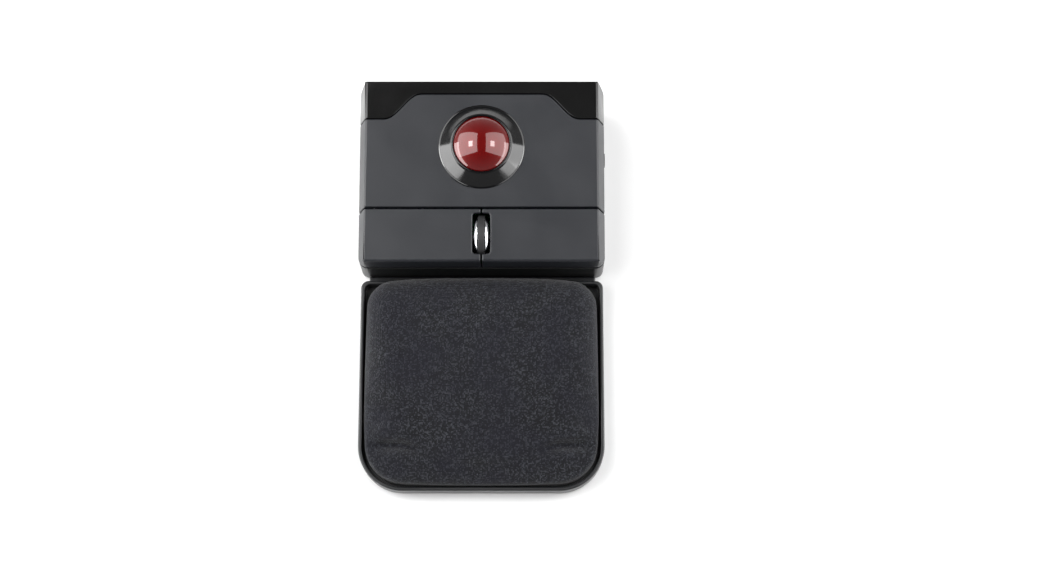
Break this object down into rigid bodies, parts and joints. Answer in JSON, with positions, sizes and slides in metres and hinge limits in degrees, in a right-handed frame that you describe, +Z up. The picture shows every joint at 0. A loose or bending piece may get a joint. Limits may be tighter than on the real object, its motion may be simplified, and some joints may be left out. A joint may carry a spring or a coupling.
{
  "type": "trackball mouse",
  "caption": "Wireless trackball mouse with a red ball in a twist-off ring, two buttons, a scroll wheel, a stowed receiver and a padded wrist rest that slides off.",
  "frame": {"origin": "on the desk under the middle of the whole object, mouse body and wrist rest together", "axes": "+X to the user's right, +Y away from the user, from the wrist rest to the rear of the mouse, +Z up"},
  "size_m": [0.0824, 0.135, 0.0344],
  "materials": {
    "shell_dark": "fine satin texture",
    "plate_satin": "satin, faintly metallic grey",
    "key_satin": "satin, faintly metallic grey",
    "trim_gloss": "polished near-black",
    "ring_gloss": "polished black",
    "ball_red": "deep red under a clear coat",
    "tray_gloss": "semi-gloss dark grey",
    "inner_black": "plain moulded",
    "rubber_black": "soft matt",
    "tyre_rubber": "ribbed",
    "bright_rim": "bright plated",
    "steel": "plain",
    "nickel": "plated sheet",
    "gold_contact": "gold plated",
    "board_green": "solder mask over laminate",
    "lens_clear": "clear",
    "plunger_red": "moulded",
    "cell_wrap": "plain printed wrap",
    "pad_fabric": "fine heathered knit",
    "foam_grey": "open-cell foam",
    "tongue_white": "moulded"
  },
  "bodies": {
    "housing": {"bottom_shell": "shell_dark", "top_cover": "plate_satin", "rear_trim": "trim_gloss", "ball_cup": "inner_black", "cup_bearings": "steel", "cup_screws": "steel", "button_pivot_rod": "steel", "wheel_bracket": "inner_black", "encoder_optics": "inner_black", "wheel_switch_case": "steel", "left_switch_case": "inner_black", "right_switch_case": "inner_black", "side_switch_case": "steel", "main_board": "board_green", "board_chips": "inner_black", "board_screws": "steel", "motion_sensor": "inner_black", "sensor_lens": "lens_clear", "battery_cell": "cell_wrap", "battery_spring": "steel", "battery_plate": "steel", "power_switch_case": "steel", "body_feet": "rubber_black", "case_screws": "steel"},
    "ring": {"retaining_ring": "ring_gloss"},
    "trackball_core": {"ball_core": "ball_red"},
    "trackball_coat": {"ball_coat": "ball_red"},
    "left_key": {"left_button": "key_satin"},
    "right_key": {"right_button": "key_satin"},
    "left_plunger": {"left_switch_plunger": "plunger_red"},
    "right_plunger": {"right_switch_plunger": "plunger_red"},
    "wheel_frame": {"wheel_carrier": "inner_black"},
    "wheel": {"wheel_tyre": "tyre_rubber", "wheel_hub": "bright_rim", "wheel_axle": "steel", "encoder_disc": "inner_black"},
    "wheel_plunger": {"wheel_switch_plunger": "inner_black"},
    "side_key": {"side_button": "trim_gloss"},
    "side_plunger": {"side_switch_plunger": "inner_black"},
    "power_knob": {"power_slider": "plunger_red"},
    "door": {"battery_door": "shell_dark"},
    "receiver": {"receiver_plug": "nickel", "receiver_cap": "trim_gloss", "receiver_tongue": "tongue_white", "receiver_contacts": "gold_contact", "receiver_board": "board_green"},
    "wrist_rest": {"rest_tray": "tray_gloss", "rest_board": "inner_black", "foam_core": "foam_grey", "pad_cover": "pad_fabric", "rest_feet": "rubber_black", "rest_screws": "steel"}
  },
  "joints": [
    {"name": "ring_twist", "type": "hinge", "parent": "housing", "child": "ring", "pos_m": [0, 0.045, 0.02186], "axis": [0, -0.061, 0.9981], "range_deg": [0, 30]},
    {"name": "ball_roll_x", "type": "hinge", "parent": "housing", "child": "trackball_core", "pos_m": [0, 0.045, 0.02186], "axis": [1, 0, 0], "continuous": true},
    {"name": "ball_roll_y", "type": "hinge", "parent": "trackball_core", "child": "trackball_coat", "pos_m": [0, 0.045, 0.02186], "axis": [0, 1, 0], "continuous": true},
    {"name": "left_click", "type": "hinge", "parent": "housing", "child": "left_key", "pos_m": [0, 0.0268, 0.021], "axis": [1, 0, 0], "range_deg": [0, 2.2], "stiffness_Nm_per_rad": 0.25, "springref_deg": -1.15},
    {"name": "left_plunger_travel", "type": "slide", "parent": "housing", "child": "left_plunger", "axis": [0, 0, -1], "range_m": [0, 0.000589]},
    {"name": "right_click", "type": "hinge", "parent": "housing", "child": "right_key", "pos_m": [0, 0.0268, 0.021], "axis": [1, 0, 0], "range_deg": [0, 2.2], "stiffness_Nm_per_rad": 0.25, "springref_deg": -1.15},
    {"name": "right_plunger_travel", "type": "slide", "parent": "housing", "child": "right_plunger", "axis": [0, 0, -1], "range_m": [0, 0.000589]},
    {"name": "wheel_press", "type": "slide", "parent": "housing", "child": "wheel_frame", "axis": [0, 0, -1], "range_m": [0, 0.0005], "stiffness_N_per_m": 1500, "springref_m": -0.0004},
    {"name": "wheel_spin", "type": "hinge", "parent": "wheel_frame", "child": "wheel", "pos_m": [0, 0.0154, 0.01928], "axis": [1, 0, 0], "continuous": true},
    {"name": "wheel_plunger_travel", "type": "slide", "parent": "housing", "child": "wheel_plunger", "axis": [0, 0, -1], "range_m": [0, 0.0005]},
    {"name": "side_press", "type": "slide", "parent": "housing", "child": "side_key", "axis": [-1, 0, 0], "range_m": [0, 0.0005], "stiffness_N_per_m": 800, "springref_m": -0.0002},
    {"name": "side_plunger_travel", "type": "slide", "parent": "housing", "child": "side_plunger", "axis": [-1, 0, 0], "range_m": [0, 0.0005]},
    {"name": "power_slide", "type": "slide", "parent": "housing", "child": "power_knob", "axis": [1, 0, 0], "range_m": [0, 0.003]},
    {"name": "door_swing", "type": "hinge", "parent": "housing", "child": "door", "pos_m": [-0.0291, 0.0613, 0.0017], "axis": [1, 0, 0], "range_deg": [0, 95]},
    {"name": "receiver_pull", "type": "slide", "parent": "housing", "child": "receiver", "axis": [0, 1, 0], "range_m": [0, 0.022]},
    {"name": "rest_pull", "type": "slide", "parent": "housing", "child": "wrist_rest", "axis": [0, -1, 0], "range_m": [0, 0.016]}
  ],
  "couplings": [
    {"joint": "left_plunger_travel", "follows": "left_click", "m_per_rad": 0.0153},
    {"joint": "right_plunger_travel", "follows": "right_click", "m_per_rad": 0.0153},
    {"joint": "wheel_plunger_travel", "follows": "wheel_press", "ratio": 1},
    {"joint": "side_plunger_travel", "follows": "side_press", "ratio": 1}
  ]
}
